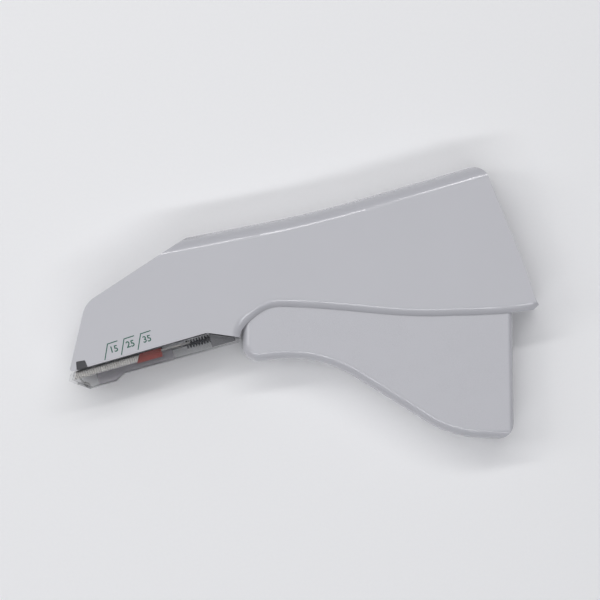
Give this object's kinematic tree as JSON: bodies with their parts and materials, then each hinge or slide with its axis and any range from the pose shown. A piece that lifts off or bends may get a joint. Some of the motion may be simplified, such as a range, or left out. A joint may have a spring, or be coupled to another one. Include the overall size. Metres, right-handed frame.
{
  "type": "skin stapler",
  "caption": "Disposable skin stapler with a white two-part casing, squeeze trigger, and a clear staple cartridge with a sprung follower at the nose.",
  "frame": {"origin": "on the trigger's pivot axis, at the flat casing side that the stapler lies on", "axes": "+X from the nose to the heel of the grip, +Y from the trigger to the back of the grip, +Z across the casing"},
  "size_m": [0.1651, 0.0955, 0.021],
  "materials": {
    "white_abs": "satin moulded",
    "clear_plastic": "clear moulded plastic",
    "steel": "plain",
    "dark_steel": "blackened",
    "staple_steel": "bright wire",
    "grey_plastic": "moulded",
    "red_plastic": "moulded"
  },
  "bodies": {
    "casing": {"left_housing": "white_abs", "right_housing": "white_abs", "cartridge_cover": "clear_plastic", "anvil_plate": "steel", "top_guide": "dark_steel", "nose_frame": "dark_steel", "first_staple": "staple_steel", "staple_stack": "staple_steel", "ejector_spring": "steel", "ejector_rivet": "steel", "magazine_plug": "grey_plastic", "pivot_pin": "steel", "return_spring": "steel", "follower_spring": "dark_steel"},
    "trigger": {"trigger": "white_abs", "drive_pin": "steel"},
    "former": {"former_blade": "steel", "driver_block": "grey_plastic", "former_rivets": "steel"},
    "follower": {"staple_follower": "red_plastic", "follower_rod": "dark_steel", "spring_collar": "dark_steel"}
  },
  "joints": [
    {"name": "trigger_hinge", "type": "hinge", "parent": "casing", "child": "trigger", "pos_m": [0, 0, 0.0105], "axis": [0, 0, 1], "range_deg": [0, 11], "stiffness_Nm_per_rad": 0.6, "springref_deg": -17.19, "deforming": ["return_spring", "first_staple"]},
    {"name": "former_slide", "type": "slide", "parent": "casing", "child": "former", "axis": [-0.225, -0.9744, 0], "range_m": [0, 0.00565]},
    {"name": "follower_slide", "type": "slide", "parent": "casing", "child": "follower", "axis": [-0.9627, -0.2706, 0], "range_m": [0, 0.02248], "deforming": ["staple_stack", "follower_spring"]}
  ],
  "couplings": [
    {"joint": "former_slide", "follows": "trigger_hinge", "m_per_rad": 0.029421}
  ]
}
